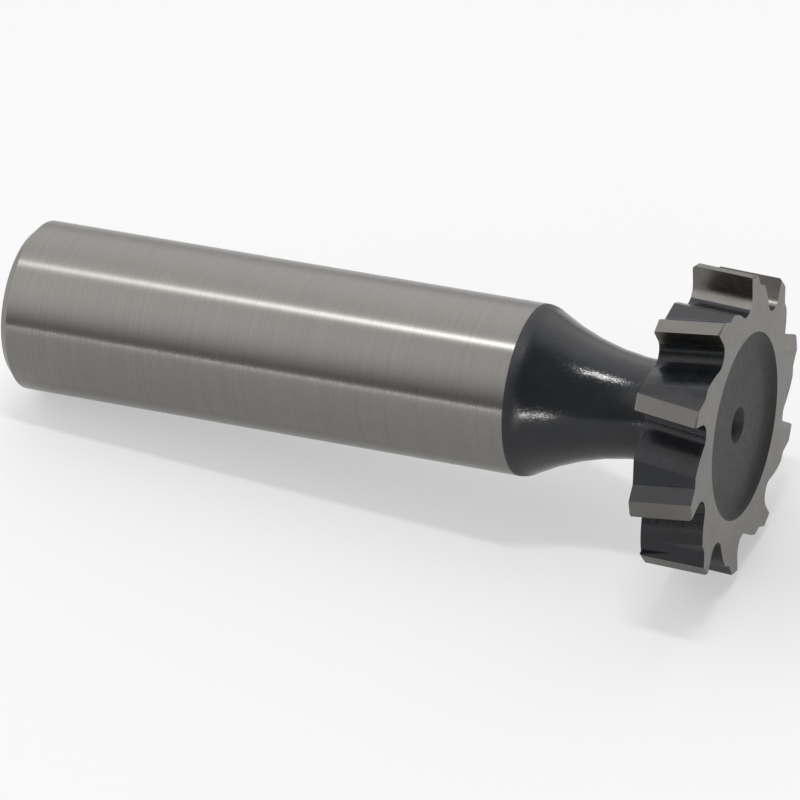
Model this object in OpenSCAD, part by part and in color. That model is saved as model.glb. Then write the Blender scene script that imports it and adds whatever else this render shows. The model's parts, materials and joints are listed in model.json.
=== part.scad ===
// Straight-shank cutter for half-round key slots, ground from one bar of high-speed steel.
// It lies on a flat floor at z = 0, as it rests by itself: on two neighbouring teeth of the head
// and on the rim of the shank's free end. The tool's axis rises along +X from shank to head.

/* [Shank] */
// Length over all, from the shank's end to the front of the head
total_l = 56.4; // [50:0.2:80]
// Diameter of the ground shank, a half-inch collet size
shank_d = 12.7; // [11:0.1:16]
// Size of the 45 degree chamfer round the shank's free end
end_chamfer = 0.7; // [0.3:0.05:1.5]

/* [Neck] */
// Diameter of the neck where it is thinnest
neck_d = 7.3; // [5.5:0.1:9]
// Length of the straight part of the neck, behind the head
neck_l = 1.5; // [1.2:0.1:4]
// Radius of the long hollow flare from the neck up to the shank
flare_r = 18; // [12:0.5:26]
// Radius that rounds the shank over into the flare
shoulder_r = 2; // [0.5:0.1:4]
// Radius in the corner between the neck and the back of the head
neck_root_r = 1; // [0.3:0.1:1.2]

/* [Head] */
// Diameter over the cutting edges, seven eighths of an inch and the usual oversize
head_d = 22.6; // [21:0.1:27]
// Width of the head, which is the width of the key slot it cuts
head_w = 4.76; // [4:0.01:7]
// Size of the small chamfer on both corners of every tooth
corner_c = 0.15; // [0.05:0.05:0.3]
// Diameter of the round recess turned in the front of the head
recess_d = 13.8; // [10:0.1:15]
// Depth of the recess
recess_deep = 0.55; // [0.3:0.05:0.9]
// Radius of the recess's corner, larger than its depth
recess_r = 1.1; // [1:0.05:2]

/* [Centre holes] */
// Mouth of the 60 degree centre in each end
centre_d = 2.7; // [2:0.1:3.5]
// Diameter of the pilot hole below the centre
pilot_d = 1.2; // [0.8:0.1:1.6]
// Length of the pilot hole's straight wall
pilot_l = 1.2; // [0.6:0.1:3]

/* [Teeth] */
// Number of teeth, an even number because they lean two ways in turn
teeth = 10; // [8:2:12]
// Lean of each tooth across the head, in degrees
skew_angle = 7; // [3:0.5:10]
// Hook of the rake face at the cutting edge, in degrees
rake_angle = 9; // [0:0.5:12]
// Depth of each gullet below the cutting edges
gullet_deep = 2.7; // [2.2:0.05:3.2]
// Radius in the bottom of each gullet
gullet_r = 1.1; // [0.8:0.05:1.3]
// Slope of the tooth's back where it leaves the gullet, in degrees
back_angle = 34; // [28:1:40]
// Radius of the tooth's rounded back
back_r = 5.3; // [4:0.1:8]
// Width of the ground land behind each cutting edge
land_w = 1.2; // [0.8:0.05:1.5]
// Relief of the land, in degrees
land_angle = 9; // [5:0.5:12]
// Depth of the step behind the land
step_deep = 1; // [0.6:0.05:1.2]
// Slope of the step, in degrees
step_angle = 52; // [45:1:65]
// Radius in the foot of the step
step_r = 0.35; // [0.2:0.05:0.5]
// Slope of the shelf that runs from the foot of the step, in degrees
shelf_angle = 17; // [12:1:22]

/* [Hidden] */
$fn = 120;
// Cuts run this far past the faces that they open, and turned parts this far into each other.
over = 1;
// An arc is drawn this much larger than tangent, so that it crosses its neighbours and leaves no sliver.
join = 0.003;
// The wall of a centre hole stands at half the cone's 60 degrees, and its drilled end at 59.
centre_half_angle = 30;
drill_half_angle = 59;
// Stock that is left on the head's radius before the lands are ground.
grind_stock = 0.2;

shank_r = shank_d / 2;
neck_r = neck_d / 2;
head_r = head_d / 2;
stock_r = head_r + grind_stock;
pilot_r = pilot_d / 2;
head_back = total_l - head_w;

// The flare is an arc that leaves the straight neck and runs tangent into the shoulder's round.
flare_start = head_back - neck_l;
flare_centre_r = neck_r + flare_r;
shoulder_centre_r = shank_r - shoulder_r;
shoulder_start = flare_start - sqrt(pow(flare_r + shoulder_r, 2) - pow(flare_centre_r - shoulder_centre_r, 2));

// The recess's corner is an arc that meets the flat front at the recess's diameter.
recess_floor = total_l - recess_deep;
recess_corner_r = recess_d / 2 - sqrt(pow(recess_r, 2) - pow(recess_r - recess_deep, 2));

// A tooth is drawn with its cutting edge at (0, head_r): x runs ahead of it, round the head.
pitch = 360 / teeth;
pitch_x = head_r * sin(pitch);
// The gullet's arc touches the rake face, and its lowest point lies on the gullet's bottom circle.
gullet_y = head_r - gullet_deep + gullet_r;
gullet_x = gullet_r / cos(rake_angle) - (head_r - gullet_y) * tan(rake_angle);
gullet_limit = 0.66 * pitch_x;
back_x = gullet_x + (gullet_r + back_r) * sin(back_angle);
back_y = gullet_y - (gullet_r + back_r) * cos(back_angle);
heel = [-land_w, head_r - land_w * tan(land_angle)];
foot = heel - [step_deep / tan(step_angle), step_deep];
shelf_end = 0.74 * pitch_x;

// Tooth 0 leans ahead and tooth 1 leans back, so their back corners stand closest to each other.
// The head rests on tooth 0's cutting edge and tooth 1's heel, where the back chamfer begins.
touch_z = head_back + corner_c;
lean_shift = (total_l - touch_z) * tan(skew_angle);
heel_turn = pitch - atan2(land_w + lean_shift, heel[1]);
heel_r = norm([land_w + lean_shift, heel[1]]);
edge_point = [lean_shift, head_r];
heel_point = heel_r * [sin(heel_turn), cos(heel_turn)];
rest_turn = atan2(edge_point[1] - heel_point[1], heel_point[0] - edge_point[0]);
rest_r = edge_point[0] * sin(rest_turn) + edge_point[1] * cos(rest_turn);

// The line from the shank's rim to the head's support is the floor.
tilt = atan((rest_r - shank_r) / (touch_z - end_chamfer));
end_height = shank_r * cos(tilt) - end_chamfer * sin(tilt);
low_x = -(shank_r - end_chamfer) * sin(tilt);
high_x = total_l * cos(tilt) + (head_r - corner_c) * cos(rest_turn) * sin(tilt);

// Half outline of the turned blank: x is the radius and y is the distance from the shank's end.
module blank_outline() {
    corner_l = grind_stock + corner_c;
    polygon([
        [0, 0], [shank_r - end_chamfer, 0], [shank_r, end_chamfer],
        [shank_r, shoulder_start], [0, shoulder_start]
    ]);
    intersection() {
        translate([shoulder_centre_r, shoulder_start]) circle(shoulder_r + join);
        square([shank_r, total_l]);
    }
    difference() {
        polygon([
            [0, shoulder_start], [shoulder_centre_r, shoulder_start],
            [flare_centre_r, flare_start], [0, flare_start]
        ]);
        translate([flare_centre_r, flare_start]) circle(flare_r + join);
    }
    translate([0, flare_start - over]) square([neck_r, neck_l + 2 * over]);
    difference() {
        translate([0, head_back - neck_root_r]) square([neck_r + neck_root_r, neck_root_r + over]);
        translate([neck_r + neck_root_r, head_back - neck_root_r]) circle(neck_root_r + join);
    }
    polygon([
        [0, head_back], [head_r - corner_c, head_back], [stock_r, head_back + corner_l],
        [stock_r, total_l - corner_l], [head_r - corner_c, total_l], [0, total_l]
    ]);
}

module recess_outline() {
    translate([0, recess_floor]) square([recess_corner_r, recess_deep + over]);
    intersection() {
        translate([recess_corner_r, recess_floor + recess_r]) circle(recess_r + join);
        translate([0, recess_floor]) square([recess_d, recess_deep + over]);
    }
}

// Centre-drilled hole that opens at z = 0 and runs down from it.
module centre_hole() {
    cone_l = (centre_d - pilot_d) / 2 / tan(centre_half_angle);
    mouth_r = centre_d / 2 + over * tan(centre_half_angle);
    tip_l = pilot_r / tan(drill_half_angle);
    rotate_extrude()
        polygon([
            [0, over], [mouth_r, over], [pilot_r, -cone_l],
            [pilot_r, -cone_l - pilot_l], [0, -cone_l - pilot_l - tip_l]
        ]);
}

// Space ahead of a cutting edge: rake face, round gullet and the rounded back of the next tooth.
module gullet_outline() {
    top = head_r + over;
    rake_foot = [gullet_x - gullet_r * cos(rake_angle), gullet_y + gullet_r * sin(rake_angle)];
    translate([gullet_x, gullet_y]) circle(gullet_r + join);
    difference() {
        polygon([
            [0, top], [0, head_r], rake_foot, [gullet_x, gullet_y], [back_x, back_y],
            [gullet_limit, back_y], [gullet_limit, top]
        ]);
        translate([back_x, back_y]) circle(back_r + join);
    }
}

// Space behind a cutting edge: relieved land, step with a round foot, and shelf.
module land_outline() {
    top = head_r + over;
    half_corner = (180 - step_angle + shelf_angle) / 2;
    cut_back = step_r / tan(half_corner);
    up_step = foot + cut_back * [cos(step_angle), sin(step_angle)];
    along_shelf = foot - cut_back * [cos(shelf_angle), sin(shelf_angle)];
    round_centre = up_step + step_r * [-sin(step_angle), cos(step_angle)];
    shelf_y = foot[1] - (shelf_end + foot[0]) * tan(shelf_angle);
    polygon([
        [over, top], [0, head_r], heel, up_step, along_shelf,
        [-shelf_end, shelf_y], [-shelf_end, top]
    ]);
    translate(round_centre) circle(step_r + join);
}

// The two cuts that shape a tooth run straight across the head, along the tooth's own lean.
module tooth_cuts(lean) {
    rotate([180, 0, 90])
        rotate([0, lean, 0])
            translate([0, 0, -over])
                linear_extrude(head_w + 2 * over) {
                    gullet_outline();
                    land_outline();
                }
}

module keyseat_cutter() {
    color([0.50, 0.49, 0.47])
        translate([-(low_x + high_x) / 2, 0, end_height])
            rotate([0, 90 - tilt, 0])
                difference() {
                    rotate_extrude() blank_outline();
                    rotate_extrude() recess_outline();
                    translate([0, 0, recess_floor]) centre_hole();
                    mirror([0, 0, 1]) centre_hole();
                    for (k = [0:teeth - 1])
                        translate([0, 0, total_l])
                            rotate([0, 0, k * pitch - rest_turn])
                                tooth_cuts(k % 2 == 0 ? skew_angle : -skew_angle);
                }
}

keyseat_cutter();
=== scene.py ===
"""Looks of the keyseat cutter: the turned and toothed piece, its finishes, the floor, light and camera."""

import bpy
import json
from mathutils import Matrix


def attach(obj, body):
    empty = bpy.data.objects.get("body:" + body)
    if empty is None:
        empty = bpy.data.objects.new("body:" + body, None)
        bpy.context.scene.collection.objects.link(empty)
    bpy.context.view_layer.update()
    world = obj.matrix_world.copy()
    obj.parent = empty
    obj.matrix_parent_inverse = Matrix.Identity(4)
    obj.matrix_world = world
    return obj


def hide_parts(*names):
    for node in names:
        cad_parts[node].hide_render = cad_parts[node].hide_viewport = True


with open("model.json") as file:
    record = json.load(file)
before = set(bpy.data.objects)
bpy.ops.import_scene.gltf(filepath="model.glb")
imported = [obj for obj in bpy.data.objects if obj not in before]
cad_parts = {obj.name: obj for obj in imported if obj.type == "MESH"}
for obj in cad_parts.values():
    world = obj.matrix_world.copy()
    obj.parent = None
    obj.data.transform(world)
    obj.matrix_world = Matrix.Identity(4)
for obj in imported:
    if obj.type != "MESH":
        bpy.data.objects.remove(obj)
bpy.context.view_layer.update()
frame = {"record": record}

import json
from math import atan, atan2, cos, hypot, pi, radians, sin, sqrt, tan

import bpy
from mathutils import Matrix, Vector

NODE = "keyseat_cutter"
MM = 0.001

# Shape

# Sizes in millimetres. The tool's axis is z while it is made: z = 0 at the shank's end.
TOTAL_L = 56.4
SHANK_R = 6.35
END_CHAMFER = 0.7
NECK_R = 3.65
NECK_L = 1.5
FLARE_R = 18.0
SHOULDER_R = 2.0
NECK_ROOT_R = 1.0
HEAD_R = 11.3
HEAD_W = 4.76
CORNER_C = 0.15
GRIND_STOCK = 0.2
RECESS_R = 6.9
RECESS_DEEP = 0.55
RECESS_CORNER_R = 1.1
CENTRE_R = 1.35
PILOT_R = 0.6
PILOT_L = 1.2
CONE_HALF = radians(30)
DRILL_HALF = radians(59)

# Teeth: angles in radians and lengths in millimetres.
LEAN = radians(7)
RAKE = radians(9)
GULLET_DEEP = 2.7
GULLET_R = 1.1
BACK_ANGLE = radians(34)
BACK_R = 5.3
LAND_W = 1.2
LAND_ANGLE = radians(9)
STEP_DEEP = 1.0
STEP_ANGLE = radians(52)
STEP_R = 0.35
SHELF_ANGLE = radians(17)
# How far each tooth's rake is ground round into its root, in degrees. It differs from tooth to tooth.
RAKE_GRINDS = (42, 42, 36, 42, 36, 54, 18, 18, 36, 42)
TEETH = len(RAKE_GRINDS)
# How far the shape that cuts a tooth gap stands past the head.
OVER = 1.0

# How finely the turned faces and the small arcs are drawn.
TURN_STEPS = 240
ARC_STEP = radians(6)
# Points of the spun outline that lie nearer than this, in metres, are merged.
MERGE_WITHIN = 1e-7
# Edges less sharp than this are shaded smooth.
SMOOTH_BELOW = radians(28)

HEEL = (-LAND_W, HEAD_R - LAND_W * tan(LAND_ANGLE))
HEAD_BACK = TOTAL_L - HEAD_W
RECESS_FLOOR = TOTAL_L - RECESS_DEEP
FLARE_START = HEAD_BACK - NECK_L
PITCH = 2 * pi / TEETH

# How far a tooth gap's outline reaches ahead of its cutting edge and behind it.
PITCH_X = HEAD_R * sin(PITCH)
GULLET_LIMIT = 0.66 * PITCH_X
SHELF_END = 0.74 * PITCH_X

# The neck's long hollow and the rounded shoulder share a tangent, at the angle FLARE_BLEND from the upright.
FLARE_RISE = NECK_R + FLARE_R - (SHANK_R - SHOULDER_R)
SHOULDER_Z = FLARE_START - sqrt((FLARE_R + SHOULDER_R) ** 2 - FLARE_RISE ** 2)
FLARE_BLEND = atan2(FLARE_START - SHOULDER_Z, FLARE_RISE)

# Faces are told apart by the share of their normal that lies along the tool's axis.
# A wall of a tooth gap has less than WALL, a sloping corner more than SLOPED and a flat face more than FLAT.
WALL = 0.1
SLOPED = 0.5
FLAT = 0.9
# A face this near to a plane or a rim counts as on it.
NEAR = 0.01
# The finishes that a tooth gap's walls have.
GAP_FINISHES = ("black_milled", "ground_rake", "ground_land")


def arc(centre, radius, start, end):
    """Points on an arc, both ends included. Angles are in radians, from +x towards +y."""
    steps = max(2, round(abs(end - start) / ARC_STEP))
    angles = [start + (end - start) * i / steps for i in range(steps + 1)]
    return [(centre[0] + radius * cos(a), centre[1] + radius * sin(a)) for a in angles]


def centre_hole_outline(mouth_z, inward):
    """Half outline of a drilled centre, from its mouth to its tip. inward is +1 or -1 along the axis."""
    cone_l = (CENTRE_R - PILOT_R) / tan(CONE_HALF)
    tip_l = PILOT_R / tan(DRILL_HALF)
    depths = [(CENTRE_R, 0), (PILOT_R, cone_l), (PILOT_R, cone_l + PILOT_L), (0, cone_l + PILOT_L + tip_l)]
    return [(r, mouth_z + inward * depth) for r, depth in depths]


def blank_outline():
    """Half outline of the turned blank as (radius, z), from the end centre's tip to the front one's."""
    flare_centre = (NECK_R + FLARE_R, FLARE_START)
    shoulder_centre = (SHANK_R - SHOULDER_R, SHOULDER_Z)
    root_centre = (NECK_R + NECK_ROOT_R, HEAD_BACK - NECK_ROOT_R)
    corner_l = GRIND_STOCK + CORNER_C
    stock_r = HEAD_R + GRIND_STOCK
    # The recess's corner runs up from its floor until it meets the flat front.
    corner_rise = sqrt(RECESS_CORNER_R ** 2 - (RECESS_CORNER_R - RECESS_DEEP) ** 2)
    recess_centre = (RECESS_R - corner_rise, RECESS_FLOOR + RECESS_CORNER_R)
    rim_angle = atan2(RECESS_DEEP - RECESS_CORNER_R, corner_rise)

    points = centre_hole_outline(0, 1)[::-1]
    points += [(SHANK_R - END_CHAMFER, 0), (SHANK_R, END_CHAMFER)]
    points += arc(shoulder_centre, SHOULDER_R, 0, FLARE_BLEND)
    points += arc(flare_centre, FLARE_R, pi + FLARE_BLEND, pi)[1:]
    points += arc(root_centre, NECK_ROOT_R, pi, pi / 2)
    points += [
        (HEAD_R - CORNER_C, HEAD_BACK), (stock_r, HEAD_BACK + corner_l),
        (stock_r, TOTAL_L - corner_l), (HEAD_R - CORNER_C, TOTAL_L),
    ]
    points += arc(recess_centre, RECESS_CORNER_R, rim_angle, -pi / 2)
    points += centre_hole_outline(RECESS_FLOOR, -1)
    return points


def tooth_gap_outline(rake_grind):
    """Walls of the space at one cutting edge, each as the point where it starts and its finish.

    The edge is at (0, HEAD_R), and x runs ahead of it, round the head. rake_grind is in degrees.
    """
    top = HEAD_R + OVER
    gullet_y = HEAD_R - GULLET_DEEP + GULLET_R
    gullet = (GULLET_R / cos(RAKE) - (HEAD_R - gullet_y) * tan(RAKE), gullet_y)
    reach = GULLET_R + BACK_R
    back = (gullet[0] + reach * sin(BACK_ANGLE), gullet[1] - reach * cos(BACK_ANGLE))
    limit_angle = atan2(sqrt(BACK_R ** 2 - (GULLET_LIMIT - back[0]) ** 2), GULLET_LIMIT - back[0])

    foot = (HEEL[0] - STEP_DEEP / tan(STEP_ANGLE), HEEL[1] - STEP_DEEP)
    half_corner = (pi - STEP_ANGLE + SHELF_ANGLE) / 2
    cut_back = STEP_R / tan(half_corner)
    up_step = (foot[0] + cut_back * cos(STEP_ANGLE), foot[1] + cut_back * sin(STEP_ANGLE))
    round_centre = (up_step[0] - STEP_R * sin(STEP_ANGLE), up_step[1] + STEP_R * cos(STEP_ANGLE))
    shelf_y = foot[1] - (foot[0] + SHELF_END) * tan(SHELF_ANGLE)

    root = arc(gullet, GULLET_R, BACK_ANGLE - pi / 2, -pi - RAKE)
    unground = len(root) - 1 - round(radians(rake_grind) / ARC_STEP)
    gullet_side = [(GULLET_LIMIT, top)] + arc(back, BACK_R, limit_angle, pi / 2 + BACK_ANGLE)[:-1]
    gullet_side += root[:unground]
    shelf_side = [HEEL] + arc(round_centre, STEP_R, STEP_ANGLE - pi / 2, SHELF_ANGLE - pi / 2)
    shelf_side += [(-SHELF_END, shelf_y), (-SHELF_END, top)]

    walls = [(point, "black_milled") for point in gullet_side]
    walls += [(point, "ground_rake") for point in root[unground:]]
    walls += [((0, HEAD_R), "ground_land")]
    walls += [(point, "black_milled") for point in shelf_side]
    return walls


def rest_placement():
    """The head's turn and the axis's tilt when the cutter rests on two teeth and the shank's end."""
    touch_z = HEAD_BACK + CORNER_C
    shift = (TOTAL_L - touch_z) * tan(LEAN)
    heel_turn = PITCH - atan2(LAND_W + shift, HEEL[1])
    heel_r = hypot(LAND_W + shift, HEEL[1])
    edge = (shift, HEAD_R)
    other = (heel_r * sin(heel_turn), heel_r * cos(heel_turn))
    rest_turn = atan2(edge[1] - other[1], other[0] - edge[0])
    rest_r = edge[0] * sin(rest_turn) + edge[1] * cos(rest_turn)
    tilt = atan((rest_r - SHANK_R) / (touch_z - END_CHAMFER))
    return rest_turn, tilt


REST_TURN, TILT = rest_placement()
# The middle of the shank's end, in metres, as the record gives it.
TOOL_ORIGIN = Vector(next(m["pos_m"] for m in frame["record"]["mounts"] if m["name"] == "end_centre"))


def pick(piece):
    """Selects the piece alone and makes it the active one."""
    bpy.ops.object.select_all(action="DESELECT")
    piece.select_set(True)
    bpy.context.view_layer.objects.active = piece


def apply_place(piece, matrix):
    """Puts the piece at a place and leaves its object at the origin."""
    pick(piece)
    piece.matrix_world = matrix
    bpy.ops.object.transform_apply(location=True, rotation=True, scale=True)


def wire(name, points):
    """A chain of edges through the points, extruded point by point. It is left in edit mode."""
    bpy.ops.object.select_all(action="DESELECT")
    bpy.ops.mesh.primitive_plane_add(size=MM)
    piece = bpy.context.object
    piece.name = name
    bpy.ops.object.mode_set(mode="EDIT")
    bpy.ops.mesh.select_all(action="SELECT")
    bpy.ops.mesh.merge(type="CENTER")
    bpy.ops.transform.translate(value=points[0])
    for before, after in zip(points, points[1:]):
        bpy.ops.mesh.extrude_vertices_move(TRANSFORM_OT_translate={"value": after - before})
    return piece


def turned_blank():
    """The cutter as it leaves the lathe."""
    piece = wire(NODE + "_body", [Vector((r, 0, z)) * MM for r, z in blank_outline()])
    bpy.ops.mesh.select_all(action="SELECT")
    bpy.ops.mesh.spin(steps=TURN_STEPS, angle=2 * pi, center=(0, 0, 0), axis=(0, 0, 1))
    bpy.ops.mesh.select_all(action="SELECT")
    bpy.ops.mesh.remove_doubles(threshold=MERGE_WITHIN)
    bpy.ops.mesh.normals_make_consistent(inside=False)
    bpy.ops.object.mode_set(mode="OBJECT")
    return piece


def tooth_cutter(walls, finishes):
    """A prism of the tooth gap's outline, standing along -z from just above the front of the head."""
    # The outline's x becomes y here, so the cutting edge lies towards +x.
    corners = [Vector((y, x, 0)) * MM for (x, y), _ in walls]
    piece = wire("tooth_gap", corners)
    bpy.ops.mesh.select_all(action="SELECT")
    bpy.ops.mesh.edge_face_add()
    bpy.ops.transform.translate(value=(0, 0, OVER * MM))
    depth = (HEAD_W + 2 * OVER) * MM
    bpy.ops.mesh.extrude_region_move(TRANSFORM_OT_translate={"value": (0, 0, -depth)})
    bpy.ops.mesh.select_all(action="SELECT")
    bpy.ops.mesh.normals_make_consistent(inside=False)
    bpy.ops.object.mode_set(mode="OBJECT")
    for name in GAP_FINISHES:
        piece.data.materials.append(finishes[name])
    middles = [(a + b).xy / 2 for a, b in zip(corners, corners[1:] + corners[:1])]
    for face in piece.data.polygons:
        if abs(face.normal.z) < WALL:
            nearest = min(range(len(middles)), key=lambda i: (face.center.xy - middles[i]).length)
            face.material_index = GAP_FINISHES.index(walls[nearest][1])
    return piece


def cut_teeth(piece, finishes):
    """Cuts the tooth gaps one by one, each along its own tooth's lean."""
    for k, rake_grind in enumerate(RAKE_GRINDS):
        lean = LEAN if k % 2 == 0 else -LEAN
        gap = tooth_cutter(tooth_gap_outline(rake_grind), finishes)
        place = (
            Matrix.Translation((0, 0, TOTAL_L * MM))
            @ Matrix.Rotation(k * PITCH - REST_TURN, 4, "Z")
            @ Matrix.Rotation(lean, 4, "X")
        )
        apply_place(gap, place)
        pick(piece)
        cut = piece.modifiers.new("gap", "BOOLEAN")
        cut.operation = "DIFFERENCE"
        cut.solver = "EXACT"
        cut.material_mode = "TRANSFER"
        cut.object = gap
        bpy.ops.object.modifier_apply(modifier=cut.name)
        bpy.data.objects.remove(gap)


def give_finishes(piece, finishes):
    """Each face takes its finish from its place. Lands and rakes keep the one that they were cut with."""
    for name in finishes:
        if piece.data.materials.find(name) < 0:
            piece.data.materials.append(finishes[name])
    slots = {name: piece.data.materials.find(name) for name in finishes}
    for face in piece.data.polygons:
        if face.material_index in (slots["ground_land"], slots["ground_rake"]):
            continue
        centre, normal = face.center / MM, face.normal
        radius = hypot(centre.x, centre.y)
        if centre.z < SHOULDER_Z:
            kind = "ground_shank" if radius > CENTRE_R else "black_milled"
        elif centre.z < HEAD_BACK + NEAR:
            kind = "black_turned"
        elif centre.z > TOTAL_L - NEAR and normal.z > FLAT:
            kind = "ground_face"
        elif radius > HEEL[1] - CORNER_C and SLOPED < abs(normal.z) < FLAT:
            kind = "honed_corner"
        elif radius < RECESS_R + NEAR:
            kind = "black_recess"
        else:
            kind = "black_milled"
        face.material_index = slots[kind]


def lay_down(piece):
    """Turns the tool's axis down on to the floor, with the middle of the shank's end at TOOL_ORIGIN."""
    turn = Matrix(((sin(TILT), 0, cos(TILT)), (0, 1, 0), (-cos(TILT), 0, sin(TILT)))).to_4x4()
    apply_place(piece, Matrix.Translation(TOOL_ORIGIN) @ turn)


# Finishes

# Each finish wanders between a dark and a light tone, and has a grain of polished and dull spots.
# tone_scale and grain_scale say how finely they change, in cells a metre: first along the tool's axis, then
# in the two directions across it. rough is the roughness of the polished and of the dull spots, and
# grain_height is the grain's height in metres. stretch draws highlights out along the tool's axis.
FINISHES = {
    # Ground with fine rings round the shank.
    "ground_shank": {
        "dark": (0.190, 0.183, 0.172), "light": (0.208, 0.200, 0.188), "metallic": 1.0,
        "tone_scale": (5000, 60, 60), "grain_scale": (14000, 160, 160),
        "rough": (0.265, 0.300), "grain_height": 0.3e-6, "stretch": 0.95,
    },
    "ground_land": {
        "dark": (0.122, 0.117, 0.108), "light": (0.145, 0.139, 0.129), "metallic": 1.0,
        "tone_scale": (300, 300, 300), "grain_scale": (9000, 600, 600),
        "rough": (0.38, 0.48), "grain_height": 0.4e-6,
    },
    "ground_rake": {
        "dark": (0.128, 0.121, 0.110), "light": (0.158, 0.149, 0.137), "metallic": 1.0,
        "tone_scale": (300, 300, 300), "grain_scale": (900, 7000, 7000),
        "rough": (0.28, 0.42), "grain_height": 0.5e-6,
    },
    # The flat ring round the front recess.
    "ground_face": {
        "dark": (0.194, 0.187, 0.176), "light": (0.222, 0.214, 0.201), "metallic": 1.0,
        "tone_scale": (300, 300, 300), "grain_scale": (1500, 1500, 9000),
        "rough": (0.40, 0.48), "grain_height": 0.3e-6,
    },
    # The small sloping corners at the ends of the teeth.
    "honed_corner": {
        "dark": (0.188, 0.181, 0.170), "light": (0.224, 0.216, 0.203), "metallic": 1.0,
        "tone_scale": (300, 300, 300), "grain_scale": (4000, 4000, 4000),
        "rough": (0.60, 0.75), "grain_height": 0.5e-6,
    },
    # The blackened neck, glossy but for its shoulder, and the back of the head.
    "black_turned": {
        "dark": (0.011, 0.012, 0.014), "light": (0.016, 0.0175, 0.020), "specular": 0.35,
        "tone_scale": (500, 300, 300), "grain_scale": (4200, 4200, 4200), "grain_detail": 1,
        "rough": (0.15, 0.22), "grain_height": 10e-6, "shoulder_rough": 0.34,
    },
    # The blackened gullets, tooth backs and shelves, and the centre hole of the shank's end.
    "black_milled": {
        "dark": (0.004, 0.005, 0.006), "light": (0.009, 0.010, 0.013), "specular": 0.34,
        "tone_scale": (700, 700, 700), "grain_scale": (3000, 3000, 3000), "grain_detail": 1,
        "rough": (0.20, 0.28), "grain_height": 6e-6,
    },
    # The dull black recess, with the centre hole in it.
    "black_recess": {
        "dark": (0.036, 0.036, 0.036), "light": (0.044, 0.044, 0.043), "specular": 0.3,
        "tone_scale": (300, 500, 500), "grain_scale": (2500, 2500, 2500),
        "rough": (0.50, 0.58), "grain_height": 1e-6,
    },
}
# The two noises: how many finer layers they add, how strong those are, and the middle part of the noise's
# own range that is stretched over the finish's range.
TONE_DETAIL = 3
TONE_ROUGHNESS = 0.55
TONE_MIDDLE = 0.4
GRAIN_DETAIL = 4
GRAIN_ROUGHNESS = 0.6
GRAIN_MIDDLE = 0.3
# The shoulder's duller black fades out between these two distances from the shank, in millimetres.
DULL_SHOULDER = (0.5, 1.3)


def noise(nodes, links, vector, detail, roughness):
    """Noise over coordinates that are already scaled."""
    node = nodes.new("ShaderNodeTexNoise")
    node.inputs["Scale"].default_value = 1.0
    node.inputs["Detail"].default_value = detail
    node.inputs["Roughness"].default_value = roughness
    links.new(vector, node.inputs["Vector"])
    return node.outputs["Fac"]


def along_tool(nodes, links, scale):
    """Object coordinates turned so that x runs along the tool's axis from the shank's end, then scaled."""
    source = nodes.new("ShaderNodeTexCoord")
    turned = nodes.new("ShaderNodeMapping")
    turned.vector_type = "TEXTURE"
    turned.inputs["Location"].default_value = TOOL_ORIGIN
    turned.inputs["Rotation"].default_value = (0, -TILT, 0)
    scaled = nodes.new("ShaderNodeMapping")
    scaled.inputs["Scale"].default_value = scale
    links.new(source.outputs["Object"], turned.inputs["Vector"])
    links.new(turned.outputs["Vector"], scaled.inputs["Vector"])
    return scaled.outputs["Vector"]


def spread(nodes, links, value, low, high, middle):
    """Maps a noise value to a range. middle is how much of the noise's own range is stretched over it."""
    node = nodes.new("ShaderNodeMapRange")
    node.inputs["From Min"].default_value = 0.5 - middle / 2
    node.inputs["From Max"].default_value = 0.5 + middle / 2
    node.inputs["To Min"].default_value = low
    node.inputs["To Max"].default_value = high
    links.new(value, node.inputs["Value"])
    return node.outputs["Result"]


def two_tone(nodes, links, value, dark, light):
    """A colour that wanders between two tones."""
    node = nodes.new("ShaderNodeMix")
    node.data_type = "RGBA"
    node.inputs["A"].default_value = (*dark, 1)
    node.inputs["B"].default_value = (*light, 1)
    links.new(value, node.inputs["Factor"])
    return node.outputs["Result"]


def bump(nodes, links, height, distance):
    """The surface's normal where the grain rises by up to the distance, in metres."""
    node = nodes.new("ShaderNodeBump")
    node.inputs["Distance"].default_value = distance
    links.new(height, node.inputs["Height"])
    return node.outputs["Normal"]


def duller_shoulder(nodes, links, rough, extra):
    """Adds to a roughness on the neck's rounded shoulder."""
    place = nodes.new("ShaderNodeSeparateXYZ")
    links.new(along_tool(nodes, links, (1 / MM, 1 / MM, 1 / MM)), place.inputs["Vector"])
    fade = nodes.new("ShaderNodeMapRange")
    fade.inputs["From Min"].default_value = SHOULDER_Z + DULL_SHOULDER[0]
    fade.inputs["From Max"].default_value = SHOULDER_Z + DULL_SHOULDER[1]
    fade.inputs["To Min"].default_value = extra
    fade.inputs["To Max"].default_value = 0
    links.new(place.outputs["X"], fade.inputs["Value"])
    total = nodes.new("ShaderNodeMath")
    links.new(rough, total.inputs[0])
    links.new(fade.outputs["Result"], total.inputs[1])
    return total.outputs["Value"]


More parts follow.
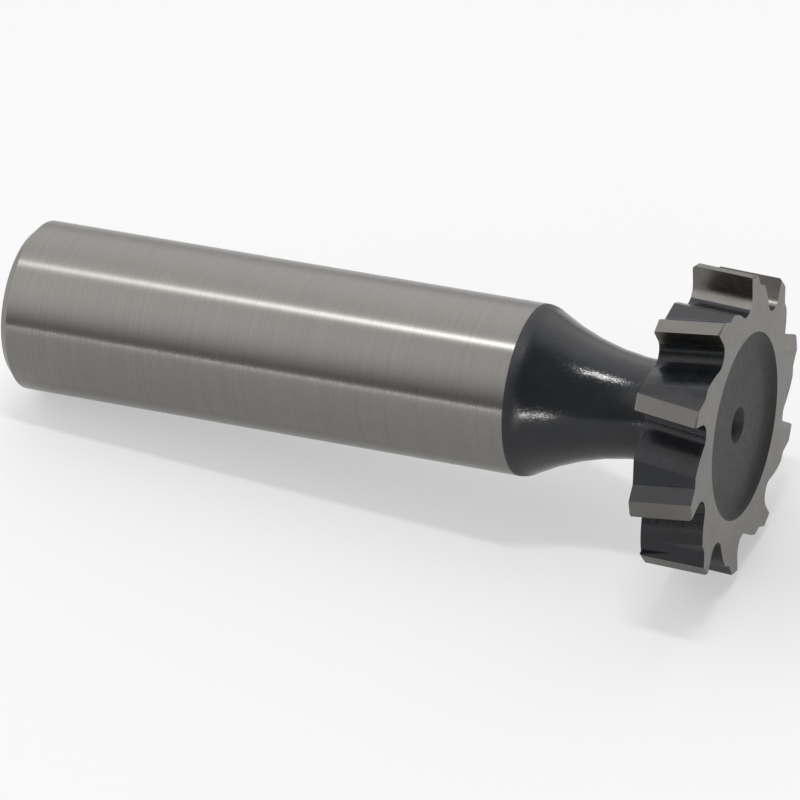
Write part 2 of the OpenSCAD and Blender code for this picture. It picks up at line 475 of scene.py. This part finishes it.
def finish(name, dark, light, tone_scale, grain_scale, rough, grain_height, metallic=0.0, specular=0.5,
           stretch=0.0, grain_detail=GRAIN_DETAIL, shoulder_rough=0.0):
    """One finish of the steel: two tones, a grain with its bump, and how it shines."""
    material = bpy.data.materials.new(name)
    material.use_nodes = True
    nodes, links = material.node_tree.nodes, material.node_tree.links
    shader = nodes["Principled BSDF"]
    tone = noise(nodes, links, along_tool(nodes, links, tone_scale), TONE_DETAIL, TONE_ROUGHNESS)
    grain = noise(nodes, links, along_tool(nodes, links, grain_scale), grain_detail, GRAIN_ROUGHNESS)
    colour = two_tone(nodes, links, spread(nodes, links, tone, 0, 1, TONE_MIDDLE), dark, light)
    links.new(colour, shader.inputs["Base Color"])
    roughness = spread(nodes, links, grain, *rough, GRAIN_MIDDLE)
    if shoulder_rough:
        roughness = duller_shoulder(nodes, links, roughness, shoulder_rough)
    links.new(roughness, shader.inputs["Roughness"])
    links.new(bump(nodes, links, grain, grain_height), shader.inputs["Normal"])
    shader.inputs["Metallic"].default_value = metallic
    shader.inputs["Specular IOR Level"].default_value = specular
    if stretch:
        shader.inputs["Anisotropic"].default_value = stretch
        axis = nodes.new("ShaderNodeCombineXYZ")
        for socket, value in zip("XYZ", (cos(TILT), 0, sin(TILT))):
            axis.inputs[socket].default_value = value
        links.new(axis.outputs["Vector"], shader.inputs["Tangent"])
    return material


# Floor, light and camera. Places and lengths are in metres.

FLOOR_SIZE = 6.0
FLOOR_COLOUR = (0.70, 0.70, 0.70)
FLOOR_ROUGH = 0.9
FLOOR_SPECULAR = 0.1
# The share of plain white that lies over the floor and its shadow, for the camera and in reflections.
FLOOR_WHITE = 0.45

# The room is dim in front and has two soft bright sides: the wall behind, and one at the left.
# Each side is brightest towards one direction, and fades between two cosines from it.
ROOM_LIGHT = 0.18
BACK_SIDE = {"towards": (-0.20, 0.70, 0.68), "edge": 0.62, "full": 0.97, "light": 1.52}
LEFT_SIDE = {"towards": (-0.80, -0.31, 0.52), "edge": 0.66, "full": 0.90, "light": 1.95}

# The lamps: a bright strip overhead, a small one low in front, and a faint one at its left.
OVERHEAD = {"at": (-0.001, -0.021, 0.614), "size": (0.16, 0.044), "watts": 1.30}
FRONT = {"at": (0.310, -0.525, 0.014), "size": (0.13, 0.022), "watts": 0.48}
FRONT_LEFT = {"at": (-0.140, -0.556, 0.014), "size": (0.090, 0.018), "watts": 0.060}

# The camera as fitted to the photograph: it looks at a point in the middle of the cutter.
CAMERA_TARGET = Vector((3.165, -5.011, 10.0)) * MM
CAMERA_DISTANCE = 509.1 * MM
CAMERA_AZIMUTH = radians(21.541)
CAMERA_ELEVATION = radians(37.269)
CAMERA_ROLL = radians(0.790)
CAMERA_CLIP = 10 * MM
# The lens and the sensor's width are in millimetres.
CAMERA_LENS = 316.26
CAMERA_SENSOR = 36


def lay_floor():
    """A plain pale floor that keeps the cutter's shadow."""
    bpy.ops.object.select_all(action="DESELECT")
    bpy.ops.mesh.primitive_plane_add(size=FLOOR_SIZE, location=(0, 0, 0))
    floor = bpy.context.object
    floor.name = "floor"
    material = bpy.data.materials.new("floor_pale")
    material.use_nodes = True
    nodes, links = material.node_tree.nodes, material.node_tree.links
    shader = nodes["Principled BSDF"]
    shader.inputs["Base Color"].default_value = (*FLOOR_COLOUR, 1)
    shader.inputs["Roughness"].default_value = FLOOR_ROUGH
    shader.inputs["Specular IOR Level"].default_value = FLOOR_SPECULAR
    path = nodes.new("ShaderNodeLightPath")
    seen = path.outputs["Is Camera Ray"]
    for ray in ("Is Glossy Ray", "Is Transmission Ray"):
        either = nodes.new("ShaderNodeMath")
        either.operation = "MAXIMUM"
        links.new(seen, either.inputs[0])
        links.new(path.outputs[ray], either.inputs[1])
        seen = either.outputs["Value"]
    share = nodes.new("ShaderNodeMath")
    share.operation = "MULTIPLY"
    share.inputs[1].default_value = FLOOR_WHITE
    links.new(seen, share.inputs[0])
    white = nodes.new("ShaderNodeEmission")
    mixed = nodes.new("ShaderNodeMixShader")
    links.new(share.outputs["Value"], mixed.inputs[0])
    links.new(shader.outputs["BSDF"], mixed.inputs[1])
    links.new(white.outputs["Emission"], mixed.inputs[2])
    links.new(mixed.outputs["Shader"], nodes["Material Output"].inputs["Surface"])
    floor.data.materials.append(material)


def hang_lamp(name, at, size, watts):
    """A soft rectangular lamp that faces the cutter, long side level."""
    lamp = bpy.data.lights.new(name, "AREA")
    lamp.shape = "RECTANGLE"
    lamp.size, lamp.size_y = size
    lamp.energy = watts
    holder = bpy.data.objects.new(name, lamp)
    bpy.context.scene.collection.objects.link(holder)
    away = (Vector(at) - CAMERA_TARGET).normalized()
    across = away.cross(Vector((1, 0, 0))).normalized()
    side = across.cross(away)
    holder.matrix_world = Matrix.Translation(at) @ Matrix((side, across, away)).transposed().to_4x4()
    holder.visible_camera = False


def bright_side(nodes, links, direction, towards, edge, full, light):
    """One soft bright side of the room, as a strength."""
    facing = nodes.new("ShaderNodeVectorMath")
    facing.operation = "DOT_PRODUCT"
    facing.inputs[1].default_value = Vector(towards).normalized()
    rise = nodes.new("ShaderNodeMapRange")
    rise.interpolation_type = "SMOOTHSTEP"
    rise.inputs["From Min"].default_value = edge
    rise.inputs["From Max"].default_value = full
    rise.inputs["To Max"].default_value = light
    links.new(direction, facing.inputs[0])
    links.new(facing.outputs["Value"], rise.inputs["Value"])
    return rise.outputs["Result"]


def light_room():
    """A soft room with its two bright sides, and the lamps."""
    world = bpy.data.worlds.new("soft_room")
    bpy.context.scene.world = world
    world.use_nodes = True
    nodes, links = world.node_tree.nodes, world.node_tree.links
    direction = nodes.new("ShaderNodeTexCoord").outputs["Generated"]
    sides = nodes.new("ShaderNodeMath")
    links.new(bright_side(nodes, links, direction, **BACK_SIDE), sides.inputs[0])
    links.new(bright_side(nodes, links, direction, **LEFT_SIDE), sides.inputs[1])
    room = nodes.new("ShaderNodeMath")
    room.inputs[1].default_value = ROOM_LIGHT
    links.new(sides.outputs["Value"], room.inputs[0])
    links.new(room.outputs["Value"], nodes["Background"].inputs["Strength"])
    nodes["Background"].inputs["Color"].default_value = (1, 1, 1, 1)
    hang_lamp("overhead_strip", **OVERHEAD)
    hang_lamp("front_strip", **FRONT)
    hang_lamp("front_left_strip", **FRONT_LEFT)


def place_camera():
    """The camera, turned about the cutter by its azimuth and elevation, and rolled a little."""
    forward = Vector((
        -sin(CAMERA_AZIMUTH) * cos(CAMERA_ELEVATION),
        cos(CAMERA_AZIMUTH) * cos(CAMERA_ELEVATION),
        -sin(CAMERA_ELEVATION),
    ))
    level = Vector((cos(CAMERA_AZIMUTH), sin(CAMERA_AZIMUTH), 0))
    upright = level.cross(forward)
    right = level * cos(CAMERA_ROLL) + upright * sin(CAMERA_ROLL)
    up = upright * cos(CAMERA_ROLL) - level * sin(CAMERA_ROLL)
    data = bpy.data.cameras.new("camera")
    data.lens = CAMERA_LENS
    data.sensor_width = CAMERA_SENSOR
    data.clip_start = CAMERA_CLIP
    camera = bpy.data.objects.new("camera", data)
    bpy.context.scene.collection.objects.link(camera)
    eye = CAMERA_TARGET - forward * CAMERA_DISTANCE
    camera.matrix_world = Matrix.Translation(eye) @ Matrix((right, up, -forward)).transposed().to_4x4()
    bpy.context.scene.camera = camera


finishes = {name: finish(name, **look) for name, look in FINISHES.items()}
body = turned_blank()
cut_teeth(body, finishes)
give_finishes(body, finishes)
bpy.ops.object.shade_smooth_by_angle(angle=SMOOTH_BELOW)
lay_down(body)
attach(body, "root")
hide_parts(NODE)

lay_floor()
light_room()
place_camera()
bpy.context.scene.view_settings.view_transform = "Standard"
